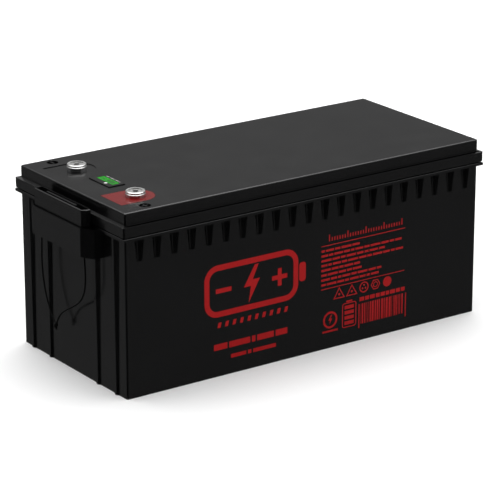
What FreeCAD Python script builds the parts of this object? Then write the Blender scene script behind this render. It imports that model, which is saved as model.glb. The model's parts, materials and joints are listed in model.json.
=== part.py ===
import FreeCAD, Part
import math
import os

import Sketcher
from FreeCAD import Placement, Rotation, Vector

# A lithium deep cycle battery in a long block case, lifted by a roped grip at each end.
# Millimetres. +Z is up, +X runs along the case, and the origin is the centre of its base.
# The terminals and the display are at the -X end, called left here.

DRIVING = [
    ("case_length", 522, "lid skirt and container rim, along X"),
    ("case_width", 240, "lid skirt and container rim, along Y"),
    ("lid_top", 224, "top face of the lid above the base"),
    ("ledge_inner", 209.9, "sloping ledge where it meets the lid's raised middle"),
    ("ledge_outer", 208.6, "sloping ledge where it meets the skirt"),
    ("skirt_bottom", 196.8, "lower edge of the lid skirt"),
    ("rim_top", 195.3, "top of the container rim"),
    ("rim_bottom", 191.6, "underside of the container rim"),
    ("rim_round", 1.2, "radius of the rim's top edges"),
    ("end_inset", 5, "container wall inside the rim, at each end"),
    ("side_inset", 5.5, "container wall inside the rim, at each long side"),
    ("tier_inset", 5, "lid's raised middle inside its skirt"),
    ("end_wall", 5, "container end wall"),
    ("side_wall", 7.5, "container long wall"),
    ("floor_plate", 5, "container floor"),
    ("corner_round", 1.8, "radius of the container's upright corners"),
    ("lid_wall", 4, "wall of the lid's raised middle"),
    ("lid_roof", 4, "lid top plate"),
    ("lid_round", 1.6, "radius of the lid's top edges"),
    ("lid_corner", 1.6, "bevel of the lid's upright corners"),
    ("groove_near", 1.2, "drip groove's inner edge from the raised middle"),
    ("groove_far", 3.8, "drip groove's outer edge from the raised middle"),
    ("groove_floor", 206.2, "bottom of the drip groove"),
    ("slot_pitch", 23.7, "spacing of the tapered recesses under the rim"),
    ("slot_count", 21, "recesses on each long side"),
    ("slot_head", 13.6, "recess width at its top"),
    ("slot_foot", 7.2, "recess width at its foot"),
    ("slot_drop", 27, "recess length below the rim"),
    ("slot_depth_head", 5.4, "recess depth under the rim"),
    ("slot_depth_foot", 2.8, "recess depth at its foot"),
    ("slot_floor", 1, "width of the recess floor between its slanted walls"),
    ("rib_inner", 53, "inner end ribs from the middle"),
    ("rib_outer", 93, "outer end ribs from the middle"),
    ("rib_head", 19, "end rib width under the rim"),
    ("rib_foot", 8.5, "end rib width at the base"),
    ("rib_crest", 3.4, "end rib crest width"),
    ("rib_rise_head", 3.2, "end rib height under the rim"),
    ("rib_rise_foot", 2.4, "end rib height at the base"),
    ("seat_reach", 21.5, "handle seat front from the end wall"),
    ("seat_half", 53.5, "half width of the handle seat's front"),
    ("seat_spread", 16.5, "extra half width behind the slanted corners"),
    ("seat_slant", 9.1, "depth of the slanted corners"),
    ("seat_bottom", 160, "underside of the handle seat"),
    ("seat_top", 194.2, "top edge of the handle seat"),
    ("seat_shell", 2, "handle seat wall"),
    ("seat_round", 1.2, "radius of the seat's upright front edges"),
    ("seat_floor", 3, "handle seat floor"),
    ("grip_gap", 0.8, "room between the grip and its seat"),
    ("grip_thick", 12.2, "grip, along X"),
    ("grip_half", 51.5, "half width of the grip's front"),
    ("grip_top", 215, "top of the grip at rest"),
    ("grip_shell", 1.8, "grip wall"),
    ("grip_web_half", 32, "half width of the solid middle of the grip"),
    ("grip_well", 30, "depth of the wells at the grip's ends"),
    ("grip_slit", 3, "width of the two slits in the grip's middle"),
    ("grip_slit_depth", 7, "depth of the slits"),
    ("rope_radius", 1, "handle rope"),
    ("rope_spread", 47, "rope holes from the middle"),
    ("rope_hole", 1.6, "radius of the rope holes"),
    ("post_x", 209, "terminal centres from the middle, along X"),
    ("post_y", 64, "terminal centres from the middle, along Y"),
    ("thread_radius", 3.4, "tapping size of the M8 terminal thread"),
    ("thread_depth", 16, "depth of the terminal thread"),
    ("terminal_rise", 6.4, "top of a terminal above the lid"),
    ("terminal_radius", 11.6, "terminal's bright ring"),
    ("pad_half", 22.5, "half width of a terminal pad"),
    ("pad_reach", 33, "terminal pad's straight edge from the terminal"),
    ("pad_thick", 2, "terminal pad recess"),
    ("negative_drop", 0.7, "negative pad below the lid's top"),
    ("mark_reach", 37, "polarity mark from the terminal, along Y"),
    ("mark_radius", 7, "polarity mark's round recess"),
    ("mark_depth", 3, "depth of that recess"),
    ("display_x", 207, "display centre from the middle, along X"),
    ("display_length", 22, "display frame, along X"),
    ("display_width", 44, "display frame, along Y"),
    ("display_rise", 1, "display frame above the lid"),
    ("cell_thick", 50, "one cell, along X"),
    ("cell_width", 160, "one cell, along Y"),
    ("cell_height", 118, "one cell's can"),
    ("cell_gap", 1, "insulating sheet between cells"),
    ("cell_pole_y", 57, "cell terminals from the middle"),
    ("end_plate", 8, "compression plate"),
    ("foam", 4, "foam pad under the cells"),
]

doc = FreeCAD.newDocument("DeepCycleBattery")
sheet = doc.addObject("Spreadsheet::Sheet", "Dims")
for row, (alias, amount, note) in enumerate(DRIVING, start=1):
    sheet.set(f"A{row}", note)
    sheet.set(f"B{row}", str(amount))
    sheet.setAlias(f"B{row}", alias)
doc.recompute()


class Size:
    """A length as an expression on the sheet and as its number, kept together through arithmetic."""

    def __init__(self, text, number):
        self.text = text
        self.number = number

    def __add__(self, other):
        return Size(f"({self.text} + {as_size(other).text})", self.number + as_size(other).number)

    def __sub__(self, other):
        return Size(f"({self.text} - {as_size(other).text})", self.number - as_size(other).number)

    def __mul__(self, other):
        return Size(f"({self.text} * {as_size(other).text})", self.number * as_size(other).number)

    def __truediv__(self, other):
        return Size(f"({self.text} / {as_size(other).text})", self.number / as_size(other).number)

    def __neg__(self):
        return Size(f"(0 - {self.text})", -self.number)

    __radd__ = __add__
    __rmul__ = __mul__

    def __rsub__(self, other):
        return as_size(other) - self


def as_size(value):
    return value if isinstance(value, Size) else Size(f"({float(value)})", float(value))


class Sheet:
    """Each alias of the sheet as an attribute that holds its Size."""


dims = Sheet()
for alias, amount, note in DRIVING:
    setattr(dims, alias, Size(f"Dims.{alias}", float(sheet.get(alias))))


def bind(thing, prop, value):
    thing.setExpression(prop, as_size(value).text)


# Plain solids ---------------------------------------------------------------------------------


def around(middle, half):
    """The span of a half width about a middle."""
    return (as_size(middle) - half, as_size(middle) + half)


def block(name, x_span, y_span, z_span):
    """A box between two bound corners."""
    made = doc.addObject("Part::Box", name)
    for prop, axis, span in zip(("Length", "Width", "Height"), "xyz", (x_span, y_span, z_span)):
        bind(made, prop, as_size(span[1]) - span[0])
        bind(made, f"Placement.Base.{axis}", span[0])
    return made


def disc(name, x, y, z_span, radius):
    """An upright cylinder."""
    made = doc.addObject("Part::Cylinder", name)
    bind(made, "Radius", radius)
    bind(made, "Height", as_size(z_span[1]) - z_span[0])
    bind(made, "Placement.Base.x", x)
    bind(made, "Placement.Base.y", y)
    bind(made, "Placement.Base.z", z_span[0])
    return made


def rod(name, x_span, y, z, radius):
    """A cylinder along X."""
    made = doc.addObject("Part::Cylinder", name)
    made.Placement = Placement(Vector(), Rotation(Vector(0, 1, 0), 90))
    bind(made, "Radius", radius)
    bind(made, "Height", as_size(x_span[1]) - x_span[0])
    bind(made, "Placement.Base.x", x_span[0])
    bind(made, "Placement.Base.y", y)
    bind(made, "Placement.Base.z", z)
    return made


def cut(name, base, tools):
    made = doc.addObject("Part::Cut", name)
    made.Base = base
    made.Tool = tools[0] if len(tools) == 1 else fuse(name + "_tools", tools)
    return made


def fuse(name, shapes):
    made = doc.addObject("Part::MultiFuse", name)
    made.Shapes = shapes
    made.Refine = True
    return made


def group(name, shapes):
    """Several separate solids that share one node."""
    made = doc.addObject("Part::Compound", name)
    made.Links = shapes
    return made


NODES = {}


def node(label, made):
    """Names a finished sub-part."""
    made.Label = label
    NODES[label] = made
    return made


# Sketched solids ------------------------------------------------------------------------------


def new_body(name):
    return doc.addObject("PartDesign::Body", name)


def sketch_on(body, role, height=0):
    """A sketch on one of the body's origin planes, raised along the plane's normal."""
    plane = next(item for item in body.Origin.OriginFeatures if item.Role == role)
    made = body.newObject("Sketcher::SketchObject", "Outline")
    made.AttachmentSupport = (plane, [""])
    made.MapMode = "FlatFace"
    bind(made, "AttachmentOffset.Base.z", height)
    return made


def pin_point(sketch, geometry, vertex, x, y):
    """Holds a sketch point at bound distances from the sketch's origin."""
    for kind, value in (("DistanceX", x), ("DistanceY", y)):
        rule = Sketcher.Constraint(kind, -1, 1, geometry, vertex, as_size(value).number)
        bind(sketch, f"Constraints[{sketch.addConstraint(rule)}]", value)


def outline(sketch, corners):
    """A closed loop of straight lines whose corners are pinned to the sheet."""
    points = [Vector(as_size(x).number, as_size(y).number, 0) for x, y in corners]
    first = sketch.GeometryCount
    for start, end in zip(points, points[1:] + points[:1]):
        sketch.addGeometry(Part.LineSegment(start, end))
    for step in range(len(points)):
        following = first + (step + 1) % len(points)
        sketch.addConstraint(Sketcher.Constraint("Coincident", first + step, 2, following, 1))
    for step, (x, y) in enumerate(corners):
        pin_point(sketch, first + step, 1, x, y)
    return sketch


def rectangle(sketch, half_x, half_y):
    return outline(sketch, [(-half_x, -half_y), (half_x, -half_y), (half_x, half_y), (-half_x, half_y)])


def circle(sketch, x, y, radius):
    centre = Vector(as_size(x).number, as_size(y).number, 0)
    index = sketch.addGeometry(Part.Circle(centre, Vector(0, 0, 1), as_size(radius).number))
    pin_point(sketch, index, 3, x, y)
    rule = Sketcher.Constraint("Radius", index, as_size(radius).number)
    bind(sketch, f"Constraints[{sketch.addConstraint(rule)}]", radius)
    return sketch


def pad(body, sketch, length):
    made = body.newObject("PartDesign::Pad", "Pad")
    made.Profile = sketch
    bind(made, "Length", length)
    body.Tip = made
    return made


def pocket(body, sketch, length, backwards=False, taper=0):
    """Cuts against the sketch's normal, or along it when backwards."""
    made = body.newObject("PartDesign::Pocket", "Pocket")
    made.Profile = sketch
    bind(made, "Length", length)
    made.Reversed = backwards
    made.TaperAngle = taper
    body.Tip = made
    return made


def revolve(body, corners):
    """Turns an outline of (radius, height) corners about the Z axis."""
    made = body.newObject("PartDesign::Revolution", "Revolution")
    made.Profile = outline(sketch_on(body, "XZ_Plane"), corners)
    made.ReferenceAxis = (made.Profile[0], ["V_Axis"])
    made.Angle = 360
    body.Tip = made
    return made


def edges_where(shape, wanted):
    return [f"Edge{index}" for index, edge in enumerate(shape.Edges, start=1) if wanted(edge)]


def dress(body, kind, size, wanted):
    """A fillet or chamfer on the edges that the test picks."""
    doc.recompute()
    base = body.Tip
    made = body.newObject(f"PartDesign::{kind}", kind)
    made.Base = (base, edges_where(base.Shape, wanted))
    bind(made, "Radius" if kind == "Fillet" else "Size", size)
    body.Tip = made
    return made


def is_upright(edge):
    along = edge.tangentAt(edge.FirstParameter)
    return edge.Curve.TypeId == "Part::GeomLine" and abs(along.z) > 0.999


def is_on_front(edge, side):
    """True on the outermost face of the handle seat at one end."""
    return abs(edge.Vertexes[0].X - seat_front.number * side) < 0.01


def is_at_height(edge, height):
    return all(abs(vertex.Z - height) < 0.01 for vertex in edge.Vertexes)


# Container ------------------------------------------------------------------------------------

rim_x = dims.case_length / 2
rim_y = dims.case_width / 2
wall_x = rim_x - dims.end_inset
wall_y = rim_y - dims.side_inset
room_x = wall_x - dims.end_wall
room_y = wall_y - dims.side_wall
seat_front = wall_x + dims.seat_reach
seat_wide = dims.seat_half + dims.seat_spread
seat_knee = seat_front - dims.seat_slant
rope_x = seat_front - dims.seat_shell - dims.grip_gap - dims.grip_thick / 2


def seat_outline(side, shell, root):
    """Plan of a handle seat, inside its outer face by shell, from x = root outwards."""
    front = seat_front - shell
    knee = seat_knee - shell * 0.6
    narrow = dims.seat_half - shell * 0.4
    wide = seat_wide - shell
    half = [(root, -wide), (knee, -wide), (front, -narrow), (front, narrow), (knee, wide), (root, wide)]
    return [(x * side, y) for x, y in half]


def loft(body, kind, levels):
    """A ruled loft, added or cut, through (height, outline corners) levels."""
    made = body.newObject(f"PartDesign::{kind}", kind)
    sections = [outline(sketch_on(body, "XY_Plane", height), corners) for height, corners in levels]
    made.Profile = sections[0]
    made.Sections = sections[1:]
    made.Ruled = True
    body.Tip = made
    return made


def add_rib(body, side, y):
    """One end rib, wider and deeper towards the rim."""
    foot = wall_x - 1

    def plan(width, rise):
        crest = wall_x + rise
        half = width / 2
        tip = dims.rib_crest / 2
        shape = [(foot, -half), (wall_x, -half), (crest, -tip)]
        shape += [(x, -across) for x, across in reversed(shape)]
        return [(x * side, as_size(across) + y) for x, across in shape]

    low = (0, plan(dims.rib_foot, dims.rib_rise_foot))
    high = (dims.rim_bottom, plan(dims.rib_head, dims.rib_rise_head))
    loft(body, "AdditiveLoft", [low, high])


def slot_plan(x, width, depth, side):
    """Plan of a recess in the wall: its mouth stands a little proud of the wall."""
    mouth = wall_y + 1
    back = wall_y - depth
    half = width / 2
    floor = dims.slot_floor / 2
    plan = [(-half, mouth), (half, mouth), (half, wall_y), (floor, back), (-floor, back), (-half, wall_y)]
    return [(x + across, y * side) for across, y in plan]


def add_slots(body, side):
    """The row of tapered recesses under the rim on one long side, shallower towards their feet."""
    count = dims.slot_count.number
    first = dims.slot_pitch * (1 - dims.slot_count) / 2
    foot = slot_plan(first, dims.slot_foot, dims.slot_depth_foot, side)
    head = slot_plan(first, dims.slot_head, dims.slot_depth_head, side)
    levels = [(dims.rim_bottom - dims.slot_drop, foot), (dims.rim_bottom, head)]
    cutter = loft(body, "SubtractiveLoft", levels)
    row = body.newObject("PartDesign::LinearPattern", "Row")
    row.Originals = [cutter]
    row.Direction = (next(item for item in body.Origin.OriginFeatures if item.Role == "X_Axis"), [""])
    row.Occurrences = int(count)
    bind(row, "Length", dims.slot_pitch * (dims.slot_count - 1))
    body.Tip = row


def make_container():
    body = new_body("Container")
    pad(body, rectangle(sketch_on(body, "XY_Plane"), wall_x, wall_y), dims.rim_bottom)
    dress(body, "Fillet", dims.corner_round, is_upright)
    rim = sketch_on(body, "XY_Plane", dims.rim_bottom)
    pad(body, rectangle(rim, rim_x, rim_y), dims.rim_top - dims.rim_bottom)
    dress(body, "Fillet", dims.rim_round, lambda edge: is_at_height(edge, dims.rim_top.number))
    for side in (-1, 1):
        for y in (-dims.rib_outer, -dims.rib_inner, dims.rib_inner, dims.rib_outer):
            add_rib(body, side, y)
    for side in (-1, 1):
        seat = sketch_on(body, "XY_Plane", dims.seat_bottom)
        outline(seat, seat_outline(side, Size("0", 0), wall_x - 1))
        pad(body, seat, dims.seat_top - dims.seat_bottom)
        dress(body, "Fillet", dims.seat_round, lambda edge: is_upright(edge) and is_on_front(edge, side))
        well = sketch_on(body, "XY_Plane", dims.seat_top)
        pocket(
            body,
            outline(well, seat_outline(side, dims.seat_shell, rim_x)),
            dims.seat_top - dims.seat_bottom - dims.seat_floor,
        )
        holes = sketch_on(body, "XY_Plane", dims.seat_top)
        for y in (-dims.rope_spread, dims.rope_spread):
            circle(holes, rope_x * side, y, dims.rope_hole)
        pocket(body, holes, dims.seat_top - dims.seat_bottom + 1)
    top = sketch_on(body, "XY_Plane", dims.rim_top)
    pocket(body, rectangle(top, room_x, room_y), dims.rim_top - dims.floor_plate)
    for side in (-1, 1):
        add_slots(body, side)
    return node("container", body)


make_container()


# Lid ------------------------------------------------------------------------------------------

tier_x = rim_x - dims.tier_inset
tier_y = rim_y - dims.tier_inset
under_roof = dims.lid_top - dims.lid_roof
post_left = -dims.post_x
pad_edge = post_left - dims.pad_reach
mark_x = post_left - 11
mark_y = dims.post_y + dims.mark_reach
display_mid = -dims.display_x
button_x = display_mid - 7
button_y = Size("(-8.0)", -8.0)
button_radius = Size("1.95", 1.95)


def box_plan(half_x, half_y, middle_x=0):
    """The corners of a rectangle about a middle on the X axis."""
    low, high = as_size(middle_x) - half_x, as_size(middle_x) + half_x
    return [(low, -half_y), (high, -half_y), (high, half_y), (low, half_y)]


def bevelled_plan(half_x, half_y):
    """The corners of a centred rectangle whose own corners are cut off at 45 degrees."""
    near_x, near_y = half_x - dims.lid_corner, half_y - dims.lid_corner
    quarter = [(half_x, near_y), (near_x, half_y)]
    mirrored = [(-x, y) for x, y in reversed(quarter)]
    return quarter + mirrored + [(-x, -y) for x, y in quarter] + [(x, -y) for x, y in reversed(quarter)]


def tier_levels():
    """The raised middle: straight sides, then a top edge rounded in four equal steps."""
    levels = [(dims.ledge_inner, bevelled_plan(tier_x, tier_y))]
    for step in range(5):
        angle = math.radians(22.5 * step)
        inset = dims.lid_round * (1 - math.cos(angle))
        height = dims.lid_top - dims.lid_round * (1 - math.sin(angle))
        levels.append((height, bevelled_plan(tier_x - inset, tier_y - inset)))
    return levels


def make_lid():
    body = new_body("Lid")
    skirt = outline(sketch_on(body, "XY_Plane", dims.skirt_bottom), bevelled_plan(rim_x, rim_y))
    pad(body, skirt, dims.ledge_outer - dims.skirt_bottom)
    ledge = (dims.ledge_outer, bevelled_plan(rim_x, rim_y))
    loft(body, "AdditiveLoft", [ledge, (dims.ledge_inner, bevelled_plan(tier_x, tier_y))])
    loft(body, "AdditiveLoft", tier_levels())
    inside = sketch_on(body, "XY_Plane", dims.skirt_bottom)
    room = rectangle(inside, tier_x - dims.lid_wall, tier_y - dims.lid_wall)
    pocket(body, room, under_roof - dims.skirt_bottom, backwards=True)
    grooves = sketch_on(body, "XY_Plane", dims.ledge_inner)
    for side in (-1, 1):
        near, far = (tier_y + dims.groove_near) * side, (tier_y + dims.groove_far) * side
        outline(grooves, [(-tier_x, near), (tier_x, near), (tier_x, far), (-tier_x, far)])
    pocket(body, grooves, dims.ledge_inner - dims.groove_floor)
    bosses = sketch_on(body, "XY_Plane", under_roof - dims.mark_depth / 2)
    for side in (-1, 1):
        circle(bosses, mark_x, mark_y * side, dims.mark_radius + 2)
    pad(body, bosses, dims.mark_depth / 2 + 1)
    for side in (-1, 1):
        open_lid_top(body, dims.post_y * side, mark_y * side)
    hole = sketch_on(body, "XY_Plane", dims.lid_top)
    outline(hole, box_plan(dims.display_length / 2 - 1.3, dims.display_width / 2 - 1.3, display_mid))
    pocket(body, hole, dims.lid_roof + 1)
    return body


def open_lid_top(body, y, sign_y):
    """The pad recess, the terminal hole and the polarity mark's recess of one pole."""
    reach = dims.pad_half + 0.3
    edge = pad_edge - 0.3

    def top():
        return sketch_on(body, "XY_Plane", dims.lid_top)

    straight = [(edge, y - reach), (post_left, y - reach), (post_left, y + reach), (edge, y + reach)]
    pocket(body, outline(top(), straight), dims.pad_thick)
    pocket(body, circle(top(), post_left, y, reach), dims.pad_thick)
    pocket(body, circle(top(), post_left, y, 8.3), dims.lid_roof + 1)
    pocket(body, circle(top(), mark_x, sign_y, dims.mark_radius), dims.mark_depth)


def make_sign(name, side):
    """A raised minus or plus in the round recess beside a terminal."""
    y = mark_y * side
    z_span = (dims.lid_top - dims.mark_depth, dims.lid_top - 0.2)
    bars = [block(name + "_bar", around(mark_x, 0.9), around(y, 4.2), z_span)]
    if side < 0:
        bars.append(block(name + "_cross", around(mark_x, 4.2), around(y, 0.9), z_span))
    return bars


def make_seal():
    """The gasket between the rim and the skirt, set back from the outside."""
    far_x, far_y = rim_x - 3, rim_y - 3
    near_x, near_y = rim_x - 8.5, rim_y - 8.5
    whole = block("seal_whole", (-far_x, far_x), (-far_y, far_y), (dims.rim_top, dims.skirt_bottom))
    hole_z = (dims.rim_top - 1, dims.skirt_bottom + 1)
    hole = block("seal_hole", (-near_x, near_x), (-near_y, near_y), hole_z)
    node("lid_seal", cut("Lid_seal", whole, [hole]))


node("lid", fuse("Lid_moulding", [make_lid()] + make_sign("minus", 1) + make_sign("plus", -1)))
make_seal()


# Handles --------------------------------------------------------------------------------------


def make_grip(name, side):
    """The bar that lies in a handle seat: open wells at its ends and a solid middle."""
    body = new_body(name.capitalize())
    front = seat_front - dims.seat_shell - dims.grip_gap
    back = front - dims.grip_thick
    wide = dims.grip_half + 4
    plan = [
        (front, -dims.grip_half),
        (front, dims.grip_half),
        (front - 5, wide),
        (back + 2, wide),
        (back, dims.grip_half + 2),
        (back, -dims.grip_half - 2),
        (back + 2, -wide),
        (front - 5, -wide),
    ]
    bottom = dims.seat_bottom + dims.seat_floor + 0.5
    base = sketch_on(body, "XY_Plane", bottom)
    pad(body, outline(base, [(x * side, y) for x, y in plan]), dims.grip_top - bottom)
    dress(body, "Fillet", 0.8, lambda edge: is_at_height(edge, dims.grip_top.number))
    wells = sketch_on(body, "XY_Plane", dims.grip_top)
    for end in (-1, 1):
        near, far = dims.grip_web_half * end, dims.grip_half * end
        low, high = back + dims.grip_shell, front - dims.grip_shell
        outline(wells, [(low * side, near), (high * side, near), (high * side, far), (low * side, far)])
    pocket(body, wells, dims.grip_well)
    slits = sketch_on(body, "XY_Plane", dims.grip_top)
    reach = dims.grip_web_half + 1
    for edge in (back + dims.grip_shell, front - dims.grip_shell - dims.grip_slit):
        low, high = edge * side, (edge + dims.grip_slit) * side
        outline(slits, [(low, -reach), (high, -reach), (high, reach), (low, reach)])
    pocket(body, slits, dims.grip_slit_depth)
    holes = sketch_on(body, "XY_Plane", dims.grip_top)
    for y in (-dims.rope_spread, dims.rope_spread):
        circle(holes, rope_x * side, y, dims.rope_hole)
    pocket(body, holes, dims.grip_top - bottom + 1)
    bore = sketch_on(body, "XZ_Plane", dims.grip_web_half + 1)
    circle(bore, rope_x * side, crossing_z, dims.rope_hole)
    pocket(body, bore, dims.grip_web_half * 2 + 2)
    return node(name, body)


crossing_z = dims.grip_top - dims.grip_well + 11


def rounded_path(points, name):
    """Straight runs joined by the largest tangent arcs that the runs leave room for."""
    points = [Vector(*point) for point in points]
    edges = []
    radii = []
    start = points[0]
    for before, corner, after in zip(points, points[1:], points[2:]):
        inward = (corner - before).normalize()
        outward = (after - corner).normalize()
        turn = inward.getAngle(outward)
        run = min(corner.distanceToPoint(before), corner.distanceToPoint(after))
        trim = 0.45 * run
        radius = trim / math.tan(turn / 2)
        radii.append(radius)
        arc_start = corner - inward * trim
        arc_end = corner + outward * trim
        middle = (outward - inward).normalize()
        centre = corner + middle * (radius / math.cos(turn / 2))
        edges.append(Part.LineSegment(start, arc_start).toShape())
        edges.append(Part.Arc(arc_start, centre - middle * radius, arc_end).toShape())
        start = arc_end
    edges.append(Part.LineSegment(start, points[-1]).toShape())
    wire = Part.Wire(edges)
    print(f"{name}: length {wire.Length:.1f}, radii", " ".join(f"{radius:.0f}" for radius in radii))
    return wire


def tube(points, radius, name):
    """A round tube along a rounded path."""
    wire = rounded_path(points, name)
    first = (Vector(*points[1]) - Vector(*points[0])).normalize()
    section = Part.Wire([Part.Circle(Vector(*points[0]), first, radius).toShape()])
    shape = wire.makePipeShell([section], True, False)
    if shape.Volume < 0:
        shape.reverse()
    even = math.pi * radius**2 * wire.Length
    print(f"{name}: volume over section times length {shape.Volume / even:.4f}")
    return shape


def feature(name, shape):
    made = doc.addObject("Part::Feature", name)
    made.Shape = shape
    return made


KNOT = (20.5, 53.5)
FAR_STRAND = [
    (47, 160),
    (47.5, 150),
    (48.4, 139),
    (48.8, 126),
    (47.8, 112),
    (45, 97),
    (40, 82),
    (33.5, 70),
    (26.5, 60),
    (21.8, 54.8),
]
NEAR_STRAND = [
    (-47, 160),
    (-47.5, 150),
    (-48.5, 139),
    (-48.6, 127),
    (-46.2, 115),
    (-40.5, 104),
    (-31, 95),
    (-19, 87.5),
    (-6, 80.5),
    (6, 73),
    (14.5, 63.5),
    (19, 55.3),
]


def make_rope(side_name, side):
    """The handle rope: through the grip, down its holes, and two strands tied below the seat."""
    x = rope_x.number * side
    radius = dims.rope_radius.number
    spread = dims.rope_spread.number
    start = dims.seat_bottom.number + 0.3
    crossing = crossing_z.number
    bend = 10
    eased = bend * (1 - math.sqrt(0.5))

    def turn(sign):
        """The quarter turn between one upright leg and the crossing, from the leg inwards."""
        leg = Vector(x, spread * sign, crossing - bend)
        middle = Vector(x, (spread - eased) * sign, crossing - eased)
        return [leg, middle, Vector(x, (spread - bend) * sign, crossing)]

    first, last = turn(side), turn(-side)
    near_foot, far_foot = Vector(x, spread * side, start), Vector(x, -spread * side, start)
    route = [
        Part.LineSegment(near_foot, first[0]),
        Part.Arc(*first),
        Part.LineSegment(first[2], last[2]),
        Part.Arc(*reversed(last)),
        Part.LineSegment(last[0], far_foot),
    ]
    legs = Part.Wire([leg.toShape() for leg in route])
    section = Part.Wire([Part.Circle(near_foot, Vector(0, 0, 1), radius).toShape()])
    swept = legs.makePipeShell([section], True, False)
    node(f"{side_name}_grip_rope", feature(f"{side_name}_inner", swept))
    for end, route in (("far", FAR_STRAND), ("near", NEAR_STRAND)):
        points = [(x, y * -side, z) for y, z in route]
        strand = tube(points, radius, f"{side_name}_rope_{end}")
        node(f"{side_name}_rope_{end}", feature(f"{side_name}_{end}", strand))
    knot_at = Vector(x, KNOT[0] * -side, KNOT[1])
    ball = Part.makeSphere(2.9, knot_at)
    tail = Part.makeCylinder(radius, 6.5, knot_at, Vector(0, 0.35 * side, -1))
    strands = [NODES[f"{side_name}_rope_{end}"].Shape for end in ("far", "near")]
    knot = ball.fuse(tail).removeSplitter().cut(strands)
    node(f"{side_name}_rope_knot", feature(f"{side_name}_knot", knot))


for side_name, side in (("left", -1), ("right", 1)):
    make_grip(f"{side_name}_grip", side)
    make_rope(side_name, side)


# Terminals ------------------------------------------------------------------------------------


def ring(name, x, y, z_span, inner, outer):
    hole = (as_size(z_span[0]) - 1, as_size(z_span[1]) + 1)
    outside = disc(name + "_outside", x, y, z_span, outer)
    return cut(name, outside, [disc(name + "_hole", x, y, hole, inner)])


def make_terminal(pole, side):
    y = dims.post_y * side
    body = new_body(f"{pole}_post")
    top = dims.lid_top + dims.terminal_rise
    seat = under_roof - 1.6
    ring_radius = dims.terminal_radius
    neck = ring_radius - 1.2
    flange = top - 2.1
    pad_top = dims.lid_top - (dims.negative_drop if pole == "negative" else 0)
    revolve(
        body,
        [
            (0, top - 29),
            (5, top - 29),
            (5, seat - 4.4),
            (13, seat - 4.4),
            (13, seat),
            (8, seat),
            (8, dims.lid_top + 2),
            (ring_radius + 0.2, dims.lid_top + 2),
            (ring_radius + 0.2, flange - 1.3),
            (ring_radius - 0.9, flange),
            (neck, flange),
            (neck, top - 1.6),
            (ring_radius, top - 1.6),
            (ring_radius, top - 0.8),
            (ring_radius - 0.8, top),
            (8.3, top),
            (8.3, top - 1.1),
            (dims.thread_radius, top - 1.1),
            (dims.thread_radius, top - 1.1 - dims.thread_depth),
            (0, top - 1.1 - dims.thread_depth),
        ],
    )
    bind(body, "Placement.Base.x", post_left)
    bind(body, "Placement.Base.y", y)
    node(f"{pole}_terminal", body)
    clamp = ring(f"{pole}_clamp", post_left, y, (pad_top, dims.lid_top + 1.7), 8.1, 11.2)
    node(f"{pole}_clamp_ring", clamp)
    node(f"{pole}_terminal_gasket", ring(f"{pole}_gasket", post_left, y, (seat, under_roof), 8.3, 12.4))
    z_span = (dims.lid_top - dims.pad_thick, pad_top)
    flat = block(f"{pole}_flat", (pad_edge, post_left), (y - dims.pad_half, y + dims.pad_half), z_span)
    round_end = disc(f"{pole}_round", post_left, y, z_span, dims.pad_half)
    hole = disc(f"{pole}_pad_hole", post_left, y, (dims.lid_top - 5, dims.lid_top + 5), 8.3)
    node(f"{pole}_terminal_pad", cut(f"{pole}_pad", fuse(f"{pole}_pad_plan", [flat, round_end]), [hole]))


make_terminal("positive", -1)
make_terminal("negative", 1)


# Display --------------------------------------------------------------------------------------

frame_top = dims.lid_top + dims.display_rise
board_top = dims.lid_top - 5.1
lcd_mid = display_mid + 1.6
lcd_half_x = 5
lcd_half_y = 17


def make_display():
    half_x, half_y = dims.display_length / 2, dims.display_width / 2
    panel_top = dims.lid_top + 0.4
    flange_z = (dims.lid_top, frame_top)
    flange = block("frame_flange", around(display_mid, half_x), (-half_y, half_y), flange_z)
    stub_x, stub_y = half_x - 1.5, half_y - 1.5
    stub_z = (board_top, dims.lid_top + 0.5)
    stub = block("frame_stub", around(display_mid, stub_x), (-stub_y, stub_y), stub_z)
    bay_x, bay_y = around(lcd_mid, lcd_half_x + 1), around(0, lcd_half_y + 1)
    room = block("frame_room", bay_x, bay_y, (board_top - 1, panel_top))
    sight_z = (dims.lid_top, frame_top + 1)
    sight = block("frame_sight", around(lcd_mid, lcd_half_x), around(0, lcd_half_y), sight_z)
    guide = disc("button_guide", button_x, button_y, (board_top - 1, frame_top + 1), button_radius + 0.15)
    shoulder = disc("button_room", button_x, button_y, (board_top - 1, dims.lid_top - 1.8), 2.95)
    openings = [room, sight, guide, shoulder]
    node("display_frame", cut("Display_frame", fuse("frame_whole", [flange, stub]), openings))
    pane_x, pane_y = around(lcd_mid, lcd_half_x - 0.1), around(0, lcd_half_y - 0.1)
    node("display_window", block("Display_window", pane_x, pane_y, (panel_top, frame_top - 0.1)))
    panel_x, panel_y = around(lcd_mid, lcd_half_x + 0.8), around(0, lcd_half_y + 0.8)
    node("display_panel", block("Display_panel", panel_x, panel_y, (board_top, panel_top)))
    board_x, board_y = around(display_mid, stub_x), around(0, stub_y)
    node("display_board", block("Display_board", board_x, board_y, (board_top - 1.6, board_top)))
    switch = block("switch_case", around(button_x, 2), around(button_y, 2), (board_top, board_top + 1.2))
    pin = disc("switch_pin", button_x, button_y, (board_top, board_top + 1.5), 1)
    node("button_switch", fuse("Button_switch", [switch, pin]))
    cap = disc("button_cap", button_x, button_y, (dims.lid_top - 2.8, frame_top + 0.6), button_radius)
    collar = disc("button_collar", button_x, button_y, (dims.lid_top - 2.8, dims.lid_top - 2), 2.7)
    node("display_button", fuse("Display_button", [cap, collar]))


make_display()


# Cells and their clamp ------------------------------------------------------------------------

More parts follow.
